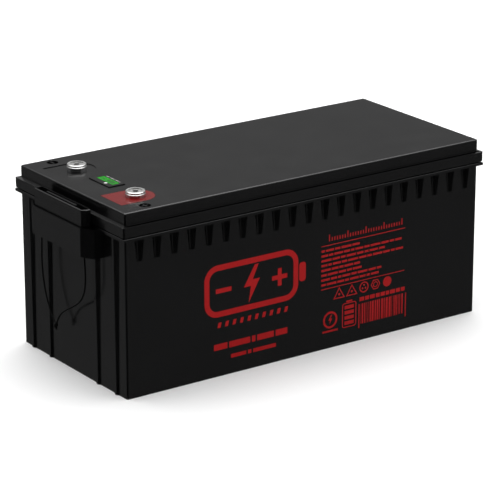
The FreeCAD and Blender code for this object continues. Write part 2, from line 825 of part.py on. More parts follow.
CELLS = 8
cell_base = dims.floor_plate + dims.foam
cell_roof = cell_base + dims.cell_height
pole_top = cell_roof + 3
busbar_top = pole_top + 2
step_x = dims.cell_thick + dims.cell_gap
pack_x = (step_x * CELLS - dims.cell_gap) / 2
plate_out = pack_x + dims.end_plate
ROD_PLACES = [(y, z) for y in (-88, 88) for z in (30, 105)]


def cell_x(index):
    return step_x * index - pack_x + dims.cell_thick / 2


def make_cells():
    half_y = dims.cell_width / 2
    for index in range(CELLS):
        x = cell_x(index)
        can_x = around(x, dims.cell_thick / 2)
        can = block(f"can_{index}", can_x, (-half_y, half_y), (cell_base, cell_roof))
        pole_z = (cell_roof, pole_top)
        poles = [disc(f"pole_{index}", x, dims.cell_pole_y * end, pole_z, 9) for end in (-1, 1)]
        vent = ring(f"vent_{index}", x, 22, (cell_roof, cell_roof + 0.6), 5, 7)
        node(f"cell_{index + 1}", fuse(f"Cell_{index + 1}", [can, *poles, vent]))
    sheets = []
    for index in range(CELLS - 1):
        low = cell_x(index) + dims.cell_thick / 2
        sheet_x, sheet_z = (low, low + dims.cell_gap), (cell_base, cell_roof - 1)
        sheets.append(block(f"sheet_{index}", sheet_x, (-half_y + 1, half_y - 1), sheet_z))
    node("cell_sheets", group("Cell_sheets", sheets))


def make_clamp():
    for name, side in (("left", -1), ("right", 1)):
        span = (-plate_out, -pack_x) if side < 0 else (pack_x, plate_out)
        plate = block(f"{name}_plate_blank", span, (-96, 96), (cell_base, cell_roof - 2))
        holes = [rod(f"{name}_plate_hole", (span[0] - 1, span[1] + 1), y, z, 3.2) for y, z in ROD_PLACES]
        node(f"{name}_end_plate", cut(f"{name}_plate", plate, holes))
    reach = plate_out + 9
    node("tie_rods", group("Tie_rods", [rod("tie_rod", (-reach, reach), y, z, 3) for y, z in ROD_PLACES]))
    nuts = []
    for y, z in ROD_PLACES:
        for span in ((-plate_out - 6, -plate_out), (plate_out, plate_out + 6)):
            bore = rod("nut_bore", (span[0] - 1, span[1] + 1), y, z, 3.05)
            nuts.append(cut("tie_nut", rod("nut_blank", span, y, z, 5.8), [bore]))
    node("tie_rod_nuts", group("Tie_rod_nuts", nuts))


def make_busbars():
    bars = []
    nuts = []
    for index in range(CELLS - 1):
        y = dims.cell_pole_y * (1 if index % 2 == 0 else -1)
        bar_x = (cell_x(index) - 9, cell_x(index + 1) + 9)
        bars.append(block(f"bar_{index}", bar_x, (y - 9, y + 9), (pole_top, busbar_top)))
    for index in range(CELLS):
        for end in (-1, 1):
            nut_y, nut_z = dims.cell_pole_y * end, (busbar_top, busbar_top + 5)
            nuts.append(disc("pole_nut", cell_x(index), nut_y, nut_z, 5))
    node("busbars", group("Busbars", bars))
    node("busbar_nuts", group("Busbar_nuts", nuts))


def make_harness():
    """The flat cable that reads each cell's voltage, lying on the cell tops."""
    thick = (cell_roof, cell_roof + 0.5)
    strips = [block("harness_spine", (cell_x(0), cell_x(CELLS - 1)), (-5, 5), thick)]
    for index in range(CELLS - 1):
        side = 1 if index % 2 == 0 else -1
        span = (4, dims.cell_pole_y - 10) if side > 0 else (10 - dims.cell_pole_y, -4)
        strips.append(block("harness_branch", around(cell_x(index) + 12, 2), span, thick))
    node("sense_harness", fuse("Sense_harness", strips))


make_cells()
make_clamp()
make_busbars()
make_harness()
node("base_pad", block("Base_pad", (-plate_out, plate_out), (-96, 96), (dims.floor_plate, cell_base)))
pad_x, pad_z = (-pack_x + 20, pack_x - 20), (cell_base, 100)
side_pads = [block("side_pad", pad_x, span, pad_z) for span in ((-room_y, -93), (93, room_y))]
node("side_pads", group("Side_pads", side_pads))


# Battery management board ---------------------------------------------------------------------

tray_z = cell_roof + 15
board_z = tray_z + 6
board_roof = board_z + 1.6
CORNERS = [(x, y) for x in (-68, 68) for y in (-38, 38)]


def make_controller():
    plate = block("tray_plate", (-78, 78), (-46, 46), (tray_z, tray_z + 2))
    feet = [
        block("tray_foot", around(x * 0.75, 4), around(y * 0.7, 4), (cell_roof, tray_z + 1))
        for x, y in CORNERS
    ]
    posts = [disc("tray_post", x, y, (tray_z + 1, board_z), 3.5) for x, y in CORNERS]
    taps = [disc("tray_tap", x, y, (tray_z - 1, board_z + 1), 1.55) for x, y in CORNERS]
    node("controller_tray", cut("Controller_tray", fuse("tray_whole", [plate, *feet, *posts]), taps))
    blank = block("board_blank", (-74, 74), (-43, 43), (board_z, board_roof))
    hole_z = (board_z - 1, board_roof + 1)
    holes = [disc("board_hole", x, y, hole_z, 1.7) for x, y in CORNERS]
    node("controller_board", cut("Controller_board", blank, holes))
    screws = []
    for x, y in CORNERS:
        head = disc("screw_head", x, y, (board_roof, board_roof + 2), 3)
        shank = disc("screw_shank", x, y, (board_z - 5, board_roof + 0.5), 1.5)
        screws.append(fuse("board_screw", [head, shank]))
    node("controller_screws", group("Controller_screws", screws))
    chips = [
        block("transistor", around(x, 5), around(y, 7), (board_roof, board_roof + 4.4))
        for x in (-40, -24, -8, 8, 24, 40)
        for y in (-12, 12)
    ]
    node("switching_transistors", group("Switching_transistors", chips))
    sink_z = board_roof + 4.4
    fins = [block("fin", (-50, 50), around(y, 1), (sink_z + 2, sink_z + 14)) for y in range(-18, 19, 6)]
    plate = block("sink_plate", (-50, 50), (-22, 22), (sink_z, sink_z + 3))
    node("heat_sink", fuse("Heat_sink", [plate, *fins]))


make_controller()


# Leads ----------------------------------------------------------------------------------------


def lug(name, x, y, z_span, hole):
    """A flat cable lug, with a hole where a post passes through it."""
    plate = block(name + "_plate", around(as_size(x), 8), around(as_size(y), 8), z_span)
    if not hole:
        return plate
    hole_z = (as_size(z_span[0]) - 1, as_size(z_span[1]) + 1)
    return cut(name, plate, [disc(name + "_hole", x, y, hole_z, hole)])


def lead(name, points, ends):
    """A cable and its two lugs, made as one piece."""
    corners = [tuple(as_size(value).number for value in point) for point in points]
    node(name, fuse(name.capitalize(), [feature(name + "_cable", tube(corners, 3.5, name)), *ends]))


post_lug_z = (dims.lid_top - 19, dims.lid_top - 16.5)
lug_mid = dims.lid_top - 17.8
pole_mid = pole_top + 3.6
left_x = cell_x(0)
right_x = cell_x(CELLS - 1)
lead(
    "positive_lead",
    [
        (post_left + 6.5, -dims.post_y, lug_mid),
        (post_left + 25, -dims.post_y, lug_mid),
        (post_left + 48, -dims.post_y + 1, lug_mid - 12),
        (post_left + 60, -dims.post_y + 4, lug_mid - 34),
        (post_left + 57, -dims.cell_pole_y, pole_mid + 14),
        (post_left + 45, -dims.cell_pole_y, pole_mid + 1),
        (left_x + 6.5, -dims.cell_pole_y, pole_mid),
    ],
    [
        lug("positive_post_lug", post_left, -dims.post_y, post_lug_z, 5.05),
        lug("positive_pole_lug", left_x, -dims.cell_pole_y, (pole_top, busbar_top), 0),
    ],
)
lead(
    "negative_lead",
    [
        (post_left + 6.5, dims.post_y, lug_mid),
        (post_left + 25, dims.post_y, lug_mid),
        (post_left + 48, dims.post_y - 3, lug_mid - 7),
        (post_left + 72, dims.post_y - 12, lug_mid - 24),
        (post_left + 95, dims.post_y - 28, lug_mid - 41),
        (post_left + 116, 28, board_roof + 7),
        (-68, 18, board_roof + 3.6),
    ],
    [
        lug("negative_post_lug", post_left, dims.post_y, post_lug_z, 5.05),
        block("negative_board_lug", (-73, -60), (11, 25), (board_roof, board_roof + 2.4)),
    ],
)
lead(
    "pack_negative_lead",
    [
        (68, -18, board_roof + 3.6),
        (88, -21, board_roof + 6),
        (108, -32, board_roof + 3),
        (130, -46, board_roof - 6),
        (150, -dims.cell_pole_y, pole_mid + 3),
        (right_x - 6.5, -dims.cell_pole_y, pole_mid),
    ],
    [
        block("pack_board_lug", (60, 73), (-25, -11), (board_roof, board_roof + 2.4)),
        lug("pack_pole_lug", right_x, -dims.cell_pole_y, (pole_top, busbar_top), 0),
    ],
)


# Check and write ------------------------------------------------------------------------------

doc.recompute()
failed = [item.Label for item in doc.Objects if {"Invalid", "Error"} & set(item.State)]
broken = [label for label, item in NODES.items() if item.Shape.isNull() or not item.Shape.isValid()]
if failed or broken:
    raise SystemExit(f"failed: {failed}, broken: {broken}")
os.makedirs("parts", exist_ok=True)
for label, item in NODES.items():
    item.Shape.exportStep(f"parts/{label}.step")
    print(f"{label}: {item.Shape.Volume / 1000:.2f} cm3, {len(item.Shape.Solids)} solids")
print(len(NODES), "nodes")
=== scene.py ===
import json
import math

import bmesh
import bpy
from mathutils import Matrix, Vector


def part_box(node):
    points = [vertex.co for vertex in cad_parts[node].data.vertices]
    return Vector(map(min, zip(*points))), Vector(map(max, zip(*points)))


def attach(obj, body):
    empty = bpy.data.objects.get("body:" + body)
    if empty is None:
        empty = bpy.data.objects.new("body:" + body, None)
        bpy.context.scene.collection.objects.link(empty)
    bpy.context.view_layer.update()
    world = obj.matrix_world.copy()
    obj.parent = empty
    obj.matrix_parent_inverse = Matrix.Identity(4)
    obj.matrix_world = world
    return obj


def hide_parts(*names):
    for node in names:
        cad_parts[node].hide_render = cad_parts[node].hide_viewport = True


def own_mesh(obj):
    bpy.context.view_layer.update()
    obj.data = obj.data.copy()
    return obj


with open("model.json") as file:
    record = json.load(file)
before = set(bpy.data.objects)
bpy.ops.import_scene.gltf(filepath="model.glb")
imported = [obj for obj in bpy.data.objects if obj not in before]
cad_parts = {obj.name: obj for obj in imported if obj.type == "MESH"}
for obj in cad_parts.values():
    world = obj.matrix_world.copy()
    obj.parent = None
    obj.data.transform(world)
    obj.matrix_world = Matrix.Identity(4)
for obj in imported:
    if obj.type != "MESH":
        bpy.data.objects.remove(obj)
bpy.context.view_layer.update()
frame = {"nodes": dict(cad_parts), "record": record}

MM = 0.001

# Camera ---------------------------------------------------------------------------------------
# It looks at the terminal end and the printed long side from a little above, with a long lens.

CAMERA_PLACE = (-1.7236, -2.4455, 1.1238)
CAMERA_AZIMUTH = -0.6128
CAMERA_RISE = 0.33
LENS = 186.7
SENSOR = 36


def add_camera():
    lens = bpy.data.cameras.new("camera")
    lens.lens = LENS
    lens.sensor_width = SENSOR
    lens.clip_start = 0.01
    lens.clip_end = 100
    camera = bpy.data.objects.new("camera", lens)
    bpy.context.scene.collection.objects.link(camera)
    level = math.cos(CAMERA_RISE)
    back_x = math.sin(CAMERA_AZIMUTH) * level
    back_y = -math.cos(CAMERA_AZIMUTH) * level
    back = Vector((back_x, back_y, math.sin(CAMERA_RISE)))
    camera.rotation_euler = (-back).to_track_quat("-Z", "Y").to_euler()
    camera.location = CAMERA_PLACE
    bpy.context.scene.camera = camera


add_camera()


# Handle ropes ---------------------------------------------------------------------------------
# Each handle's rope passes through its grip and hangs below the seat in two strands that meet in
# a knot. The routes are the strands' control points as (y, z) in millimetres, for the left end;
# the right end is the same turned half round.

FAR_STRAND = [
    (47, 160),
    (47.5, 150),
    (48.4, 139),
    (48.8, 126),
    (47.8, 112),
    (45, 97),
    (40, 82),
    (33.5, 70),
    (26.5, 60),
    (21.8, 54.8),
]
NEAR_STRAND = [
    (-47, 160),
    (-47.5, 150),
    (-48.5, 139),
    (-48.6, 127),
    (-46.2, 115),
    (-40.5, 104),
    (-31, 95),
    (-19, 87.5),
    (-6, 80.5),
    (6, 73),
    (14.5, 63.5),
    (19, 55.3),
]
ROPE_RADIUS = 1.0 * MM
SEAT_UNDERSIDE = 160 * MM
# The part of the rope that rides with the grip: thinner, so that it hides inside the strands.
CARRIED_RADIUS = 0.85 * MM
CARRIED_REACH = 36 * MM
CROSSING_DEPTH = 19 * MM
CROSSING_BEND = 10 * MM
BEND_STEPS = 8


def spline_points(name, control):
    """Points along the smooth line of the route's control points."""
    curve = bpy.data.curves.new(name + "_route", "CURVE")
    curve.dimensions = "3D"
    curve.resolution_u = 10
    spline = curve.splines.new("NURBS")
    spline.points.add(len(control) - 1)
    for point, place in zip(spline.points, control):
        point.co = (*place, 1)
    spline.order_u = 3
    spline.use_endpoint_u = True
    holder = bpy.data.objects.new(name + "_route", curve)
    bpy.context.scene.collection.objects.link(holder)
    bpy.context.view_layer.update()
    line = bpy.data.meshes.new_from_object(holder)
    points = [vertex.co.copy() for vertex in line.vertices]
    bpy.data.objects.remove(holder)
    bpy.data.meshes.remove(line)
    return points


def evenly(points, step):
    """The same line with points a step apart, its ends kept."""
    lengths = [0.0]
    for start, end in zip(points, points[1:]):
        lengths.append(lengths[-1] + (end - start).length)
    count = max(2, round(lengths[-1] / step))
    made = []
    index = 0
    for number in range(count + 1):
        wanted = lengths[-1] * number / count
        while index < len(points) - 2 and lengths[index + 1] < wanted:
            index += 1
        span = lengths[index + 1] - lengths[index]
        made.append(points[index].lerp(points[index + 1], (wanted - lengths[index]) / span))
    return made


BRAID_SIDES = 16
BRAID_DEPTH = 0.13
BRAID_PITCH = 5.0


def braided_tube(name, points, radius):
    """A round rope along a line, with the crossing ridges of its braid."""
    points = evenly(points, radius * 0.4)
    mesh = bmesh.new()
    rings = []
    forward = (points[1] - points[0]).normalized()
    across = forward.orthogonal().normalized()
    travelled = 0.0
    for index, point in enumerate(points):
        before = points[max(index - 1, 0)]
        after = points[min(index + 1, len(points) - 1)]
        heading = (after - before).normalized()
        across = forward.rotation_difference(heading) @ across
        across = (across - heading * across.dot(heading)).normalized()
        forward = heading
        side = heading.cross(across)
        travelled += (point - before).length
        phase = travelled / (radius * BRAID_PITCH) * math.tau
        ring = []
        for corner in range(BRAID_SIDES):
            angle = math.tau * corner / BRAID_SIDES
            ridge = max(abs(math.cos(2 * angle + phase)), abs(math.cos(2 * angle - phase)))
            reach = radius * (1 - BRAID_DEPTH * (1 - ridge))
            outward = across * math.cos(angle) + side * math.sin(angle)
            ring.append(mesh.verts.new(point + outward * reach))
        rings.append(ring)
    for low, high in zip(rings, rings[1:]):
        for corner in range(BRAID_SIDES):
            following = (corner + 1) % BRAID_SIDES
            mesh.faces.new((low[corner], low[following], high[following], high[corner]))
    mesh.faces.new(list(reversed(rings[0])))
    mesh.faces.new(rings[-1])
    return finish_mesh(name, mesh, smooth=True)


def finish_mesh(name, mesh, smooth=False):
    bmesh.ops.recalc_face_normals(mesh, faces=mesh.faces)
    data = bpy.data.meshes.new(name)
    mesh.to_mesh(data)
    mesh.free()
    for face in data.polygons:
        face.use_smooth = smooth
    made = bpy.data.objects.new(name, data)
    bpy.context.scene.collection.objects.link(made)
    return made


KNOT_PLACE = (20.5, 53.5)
KNOT_TURNS = 2.6
KNOT_RADIUS = 1.75 * MM
KNOT_RISE = 4.6 * MM
KNOT_STEPS = 44


def knot_path(centre, turn_way):
    """The rope wound round its own two ends."""
    points = []
    for step in range(KNOT_STEPS + 1):
        share = step / KNOT_STEPS
        angle = turn_way * share * KNOT_TURNS * math.tau
        reach = KNOT_RADIUS * (1 - 0.25 * abs(2 * share - 1) ** 3)
        height = KNOT_RISE * (0.5 - share)
        points.append(centre + Vector((reach * math.cos(angle), reach * math.sin(angle), height)))
    return points


def tail_path(centre, lean):
    start = centre + Vector((0, 0, 1.5 * MM))
    middle = centre + Vector((0.4 * MM, lean * 0.5, -3.2 * MM))
    end = centre + Vector((0.9 * MM, lean, -5.8 * MM))
    return [start, middle, end]


def join(name, pieces):
    """Several meshes as one piece."""
    mesh = bmesh.new()
    for piece in pieces:
        mesh.from_mesh(piece.data)
        bpy.data.objects.remove(piece)
    return finish_mesh(name, mesh, smooth=True)


def carried_path(x, strands, grip_top):
    """The part of the rope that moves with the grip, from one strand's inside to the other's."""
    far, near = strands
    crossing = grip_top - CROSSING_DEPTH
    bend = CROSSING_BEND

    def within(points):
        return [point for point in points if point.z > SEAT_UNDERSIDE - CARRIED_REACH]

    up, down = list(reversed(within(far))), within(near)
    first, last = far[0], near[0]
    rising = Vector((x, first.y, crossing - bend))
    falling = Vector((x, last.y, crossing - bend))
    sense = 1 if last.y > first.y else -1
    path = up + [rising]
    for step in range(1, BEND_STEPS + 1):
        angle = math.pi / 2 * step / BEND_STEPS
        inwards = sense * bend * (1 - math.cos(angle))
        path.append(rising + Vector((0, inwards, bend * math.sin(angle))))
    for step in range(BEND_STEPS):
        angle = math.pi / 2 * (1 - step / BEND_STEPS)
        inwards = sense * bend * (1 - math.cos(angle))
        path.append(falling + Vector((0, -inwards, bend * math.sin(angle))))
    return path + [falling] + down


def make_ropes(side_name, side):
    low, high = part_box(f"{side_name}_rope_far")
    x = (low.x + high.x) / 2
    grip_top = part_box(f"{side_name}_grip")[1].z
    lines = []
    strands = []
    for end, route in (("far", FAR_STRAND), ("near", NEAR_STRAND)):
        control = [(x, -side * y * MM, z * MM) for y, z in route]
        points = spline_points(f"{side_name}_{end}", control)
        strand = braided_tube(f"{side_name}_strand_{end}", points, ROPE_RADIUS)
        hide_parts(f"{side_name}_rope_{end}")
        lines.append(points)
        strands.append(strand)
    centre = Vector((x, -side * KNOT_PLACE[0] * MM, KNOT_PLACE[1] * MM))
    parts = [braided_tube("wraps", knot_path(centre, -side), ROPE_RADIUS)]
    for lean in (-1.1 * MM, 1.3 * MM):
        tail = spline_points("tail", tail_path(centre, lean))
        parts.append(braided_tube("tail", tail, ROPE_RADIUS * 0.9))
    knot = join(f"{side_name}_knot", parts)
    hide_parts(f"{side_name}_rope_knot")
    inside = carried_path(x, lines, grip_top)
    carried = braided_tube(f"{side_name}_carried_rope", inside, CARRIED_RADIUS)
    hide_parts(f"{side_name}_grip_rope")
    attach(carried, f"{side_name}_grip")
    for piece in (*strands, knot):
        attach(piece, "root")
        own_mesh(piece)
    for end, points in zip(("far", "near"), lines):
        start = points[0]
        stub = [start + Vector((0, 0, 26 * MM)), start + Vector((0, 0, 12 * MM)), start]
        piece = braided_tube(f"{side_name}_rope_stub_{end}", stub, ROPE_RADIUS)
        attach(piece, "root")
        ROPE_PIECES.append(piece)
    ROPE_PIECES.extend([*strands, knot, carried])


ROPE_PIECES = []
make_ropes("left", -1)
make_ropes("right", 1)


# Materials ------------------------------------------------------------------------------------


class Nodes:
    """A short way to build a material's node tree."""

    def __init__(self, name):
        self.material = bpy.data.materials.new(name)
        self.material.use_nodes = True
        self.tree = self.material.node_tree
        self.shader = self.tree.nodes["Principled BSDF"]
        self.place = self.add("ShaderNodeTexCoord").outputs["Object"]

    def add(self, kind, **settings):
        made = self.tree.nodes.new(kind)
        for key, value in settings.items():
            setattr(made, key, value)
        return made

    def link(self, start, end):
        self.tree.links.new(start, end)

    def noise(self, scale, detail=2.0, roughness=0.5, stretch=None):
        made = self.add("ShaderNodeTexNoise")
        made.inputs["Scale"].default_value = scale
        made.inputs["Detail"].default_value = detail
        made.inputs["Roughness"].default_value = roughness
        source = self.place
        if stretch:
            mapping = self.add("ShaderNodeMapping")
            mapping.inputs["Scale"].default_value = stretch
            self.link(source, mapping.inputs["Vector"])
            source = mapping.outputs["Vector"]
        self.link(source, made.inputs["Vector"])
        return made.outputs["Fac"]

    def spread(self, source, low, high, start=0.3, end=0.7):
        """Maps a texture's middle range on to low..high."""
        made = self.add("ShaderNodeMapRange")
        made.inputs["From Min"].default_value = start
        made.inputs["From Max"].default_value = end
        made.inputs["To Min"].default_value = low
        made.inputs["To Max"].default_value = high
        self.link(source, made.inputs["Value"])
        return made.outputs["Result"]

    def tint(self, source, dark, light, start=0.35, end=0.65):
        made = self.add("ShaderNodeValToRGB")
        made.color_ramp.elements[0].position = start
        made.color_ramp.elements[1].position = end
        made.color_ramp.elements[0].color = (*dark, 1)
        made.color_ramp.elements[1].color = (*light, 1)
        self.link(source, made.inputs["Fac"])
        self.link(made.outputs["Color"], self.shader.inputs["Base Color"])

    def rough(self, source, low, high):
        self.link(self.spread(source, low, high), self.shader.inputs["Roughness"])

    def bump(self, sources, distance):
        """Raises the surface by several textures, each with its own share."""
        normal = None
        for source, share in sources:
            made = self.add("ShaderNodeBump")
            made.inputs["Strength"].default_value = share
            made.inputs["Distance"].default_value = distance
            self.link(source, made.inputs["Height"])
            if normal:
                self.link(normal, made.inputs["Normal"])
            normal = made.outputs["Normal"]
        self.link(normal, self.shader.inputs["Normal"])

    def set(self, **values):
        for key, value in values.items():
            self.shader.inputs[key.replace("_", " ")].default_value = value


def moulded(name, dark, light, low, high, grain=0.07, shine=0.5):
    """Moulded plastic: slightly uneven gloss and the fine grain of the mould."""
    made = Nodes(name)
    made.tint(made.noise(9, 4), dark, light)
    made.rough(made.noise(30, 5, 0.6), low, high)
    made.bump([(made.noise(2600, 3, 0.6), grain), (made.noise(140, 2), grain * 0.3)], 0.00002)
    made.set(Specular_IOR_Level=shine)
    return made.material


def case_black():
    return moulded("case_black", (0.0026, 0.0026, 0.0028), (0.0034, 0.0034, 0.0036), 0.17, 0.22)


def grip_black():
    return moulded("grip_black", (0.0026, 0.0026, 0.0028), (0.0036, 0.0036, 0.0038), 0.19, 0.25)


def pad_black():
    return moulded("pad_black", (0.0024, 0.0024, 0.0026), (0.0032, 0.0032, 0.0034), 0.16, 0.21)


def pad_red():
    return moulded("pad_red", (0.125, 0.003, 0.003), (0.15, 0.004, 0.004), 0.2, 0.26)


def print_red():
    made = Nodes("print_red")
    made.tint(made.noise(420, 5, 0.7), (0.36, 0.004, 0.005), (0.43, 0.006, 0.007))
    made.set(Specular_IOR_Level=0.12)
    made.rough(made.noise(900, 3), 0.42, 0.55)
    made.bump([(made.noise(1800, 2), 0.15)], 0.00001)
    return made.material


def frame_black():
    dark, light = (0.002, 0.002, 0.0022), (0.003, 0.003, 0.0032)
    return moulded("frame_black", dark, light, 0.42, 0.52, grain=0.03, shine=0.15)


def button_white():
    return moulded("button_white", (0.62, 0.62, 0.6), (0.72, 0.72, 0.7), 0.25, 0.35)


def rope_black():
    made = Nodes("rope_black")
    made.tint(made.noise(1400, 3), (0.001, 0.001, 0.001), (0.0034, 0.0034, 0.0034))
    made.rough(made.noise(700, 2), 0.55, 0.75)
    made.bump([(made.noise(5200, 2, 0.5, (1, 1, 0.2)), 0.6)], 0.00006)
    made.set(Specular_IOR_Level=0.2)
    return made.material


def metal(name, dark, light, low, high, lines=(1, 1, 30), bump=0.15):
    """Plated or bare metal with fine tool lines."""
    made = Nodes(name)
    made.tint(made.noise(60, 4), dark, light)
    made.rough(made.noise(300, 4, 0.6), low, high)
    made.bump([(made.noise(900, 3, 0.6, lines), bump)], 0.00002)
    made.set(Metallic=1.0)
    return made.material


def terminal_metal():
    return metal("terminal_metal", (0.58, 0.58, 0.57), (0.68, 0.68, 0.67), 0.26, 0.36)


def ring_steel():
    return metal("ring_steel", (0.72, 0.72, 0.72), (0.82, 0.82, 0.82), 0.25, 0.35)


def plated_steel():
    return metal("plated_steel", (0.55, 0.55, 0.57), (0.68, 0.68, 0.69), 0.3, 0.45)


def plate_aluminium():
    return metal("plate_aluminium", (0.6, 0.6, 0.62), (0.75, 0.75, 0.77), 0.35, 0.5, (1, 12, 1))


def busbar_copper():
    return metal("busbar_copper", (0.62, 0.3, 0.18), (0.78, 0.42, 0.28), 0.3, 0.45, (12, 1, 1))


def window_clear():
    made = Nodes("window_clear")
    made.rough(made.noise(50, 2), 0.02, 0.05)
    made.set(Base_Color=(0.9, 0.95, 0.92, 1), Transmission_Weight=1.0, IOR=1.45)
    return made.material


def lcd_green():
    made = Nodes("lcd_green")
    glow = made.add("ShaderNodeValToRGB")
    glow.color_ramp.elements[0].color = (0.004, 0.36, 0.003, 1)
    glow.color_ramp.elements[1].color = (0.008, 0.46, 0.006, 1)
    made.link(made.noise(160, 2), glow.inputs["Fac"])
    made.link(glow.outputs["Color"], made.shader.inputs["Emission Color"])
    made.tint(made.noise(160, 2), (0.01, 0.16, 0.01), (0.02, 0.22, 0.015))
    made.set(Emission_Strength=1.0, Roughness=0.3)
    return made.material


def lcd_dark():
    made = Nodes("lcd_dark")
    made.tint(made.noise(500, 2), (0.004, 0.02, 0.004), (0.008, 0.035, 0.007))
    made.rough(made.noise(300, 2), 0.4, 0.5)
    return made.material


def circuit_board():
    made = Nodes("circuit_board")
    weave = made.add("ShaderNodeTexWave", bands_direction="Y", wave_profile="TRI")
    weave.inputs["Scale"].default_value = 260
    weave.inputs["Distortion"].default_value = 6
    made.link(made.place, weave.inputs["Vector"])
    made.tint(weave.outputs["Fac"], (0.006, 0.07, 0.02), (0.01, 0.13, 0.04), 0.3, 0.8)
    made.rough(made.noise(90, 3), 0.3, 0.45)
    made.bump([(weave.outputs["Fac"], 0.2)], 0.00003)
    return made.material


def soft_matte(name, dark, light, low=0.6, high=0.85, grain=900, depth=0.4):
    """Rubber, foam and sheet: a dull surface with visible grain."""
    made = Nodes(name)
    made.tint(made.noise(40, 4), dark, light)
    made.rough(made.noise(120, 3), low, high)
    made.bump([(made.noise(grain, 3, 0.7), depth)], 0.00006)
    return made.material


def rubber_black():
    return soft_matte("rubber_black", (0.006, 0.006, 0.006), (0.014, 0.014, 0.014))


def foam_grey():
    return soft_matte("foam_grey", (0.05, 0.05, 0.055), (0.09, 0.09, 0.1), grain=500, depth=0.8)


def insulation():
    return soft_matte("insulation", (0.5, 0.49, 0.43), (0.62, 0.61, 0.55), 0.4, 0.6)


def harness_amber():
    return soft_matte("harness_amber", (0.36, 0.15, 0.02), (0.5, 0.24, 0.04), 0.2, 0.35)


def chip_black():
    return soft_matte("chip_black", (0.008, 0.008, 0.009), (0.018, 0.018, 0.02), 0.4, 0.55)


def lead_red():
    return soft_matte("lead_red", (0.3, 0.008, 0.008), (0.42, 0.014, 0.012), 0.35, 0.5)


def lead_black():
    return soft_matte("lead_black", (0.006, 0.006, 0.006), (0.014, 0.014, 0.014), 0.35, 0.5)


def cell_can():
    made = Nodes("cell_can")
    made.tint(made.noise(14, 3), (0.02, 0.07, 0.24), (0.03, 0.1, 0.32))
    made.rough(made.noise(60, 4), 0.2, 0.35)
    made.bump([(made.noise(70, 3, 0.6, (1, 1, 0.3)), 0.4)], 0.0002)
    made.set(Metallic=0.3, Coat_Weight=0.4)
    return made.material


FINISHES = {
    finish.__name__: finish()
    for finish in (
        case_black,
        grip_black,
        rope_black,
        terminal_metal,
        ring_steel,
        pad_red,
        pad_black,
        frame_black,
        window_clear,
        lcd_green,
        lcd_dark,
        button_white,
        circuit_board,
        rubber_black,
        cell_can,
        insulation,
        plate_aluminium,
        plated_steel,
        busbar_copper,
        foam_grey,
        harness_amber,
        chip_black,
        lead_red,
        lead_black,
        print_red,
    )
}


def finish_nodes():
    """Each CAD node takes the finish of its slot in the record."""
    for row in frame["record"]["subparts"]:
        data = frame["nodes"][row["node"]].data
        data.materials.clear()
        data.materials.append(FINISHES[row["material_slot"]])


finish_nodes()
for rope_piece in ROPE_PIECES:
    rope_piece.data.materials.append(FINISHES["rope_black"])


# Printed marks --------------------------------------------------------------------------------
# Thin films of ink, laid out on a plane as (across, up) outlines in millimetres.

INK = 0.08 * MM
STRIPE_WIDTHS = (0.8, 2.1, 1.1, 3.2, 1.5)
STRIPE_GAPS = (1, 1.9, 1.1, 1.4)


class Ink:
    """Flat shapes that end up as one thin printed piece."""

    def __init__(self):
        self.faces = []

    def patch(self, *corners):
        self.faces.append(list(corners))

    def bar(self, left, low, right, high, lean=0.0):
        self.patch((left, low), (right, low), (right + lean, high), (left + lean, high))

    def band(self, corners, width, closed=True):
        """A line of even width through the corners, mitred where it turns."""
        count = len(corners)
        rails = []
        for index, (x, y) in enumerate(corners):
            before = corners[index - 1] if closed or index else None
            after = corners[(index + 1) % count] if closed or index < count - 1 else None
            ways = []
            if before:
                ways.append(Vector((x - before[0], y - before[1])).normalized())
            if after:
                ways.append(Vector((after[0] - x, after[1] - y)).normalized())
            heading = sum(ways, Vector((0, 0))).normalized()
            normal = Vector((-heading.y, heading.x))
            reach = width / 2 / max(0.3, normal.dot(Vector((-ways[0].y, ways[0].x))))
            side = normal * reach
            rails.append(((x + side.x, y + side.y), (x - side.x, y - side.y)))
        last = count if closed else count - 1
        for index in range(last):
            here, there = rails[index], rails[(index + 1) % count]
            self.faces.append([here[0], here[1], there[1], there[0]])

    def ring(self, x, y, radius, width, sides=48):
        self.band(arc(x, y, radius, 0, math.tau, sides)[:-1], width)

    def disc(self, x, y, radius, sides=32):
        self.patch(*arc(x, y, radius, 0, math.tau, sides)[:-1])

    def lay(self, name, place, finish):
        """Makes the piece: place turns (across, up) and a height into a point of the frame."""
        mesh = bmesh.new()
        for corners in self.faces:
            top = [mesh.verts.new(place(x * MM, y * MM, INK)) for x, y in corners]
            bottom = [mesh.verts.new(place(x * MM, y * MM, 0)) for x, y in corners]
            mesh.faces.new(top)
            mesh.faces.new(list(reversed(bottom)))
            for index in range(len(corners)):
                following = (index + 1) % len(corners)
                mesh.faces.new((top[index], bottom[index], bottom[following], top[following]))
        made = finish_mesh(name, mesh)
        made.data.materials.append(FINISHES[finish])
        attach(made, "root")
        return made


def arc(x, y, radius, start, end, steps):
    angles = [start + (end - start) * step / steps for step in range(steps + 1)]
    return [(x + radius * math.cos(angle), y + radius * math.sin(angle)) for angle in angles]


def rounded(left, low, right, high, radius, steps=8):
    """The corners of a rounded rectangle."""
    quarter = math.pi / 2
    return (
        arc(right - radius, high - radius, radius, 0, quarter, steps)
        + arc(left + radius, high - radius, radius, quarter, 2 * quarter, steps)
        + arc(left + radius, low + radius, radius, 2 * quarter, 3 * quarter, steps)
        + arc(right - radius, low + radius, radius, 3 * quarter, 4 * quarter, steps)
    )


BOLT = [(0.18, 1), (-0.5, -0.12), (-0.06, -0.12), (-0.2, -1), (0.5, 0.22), (0.06, 0.22), (0.42, 1)]


def bolt(x, y, half):
    return [(x + u * half, y + v * half) for u, v in BOLT]


# The printed wall stands this far inside the container's rim.
SIDE_INSET = 5.5 * MM
front_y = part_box("container")[0].y + SIDE_INSET


def on_front(x, y, height):
    return Vector((x, front_y - height, y))


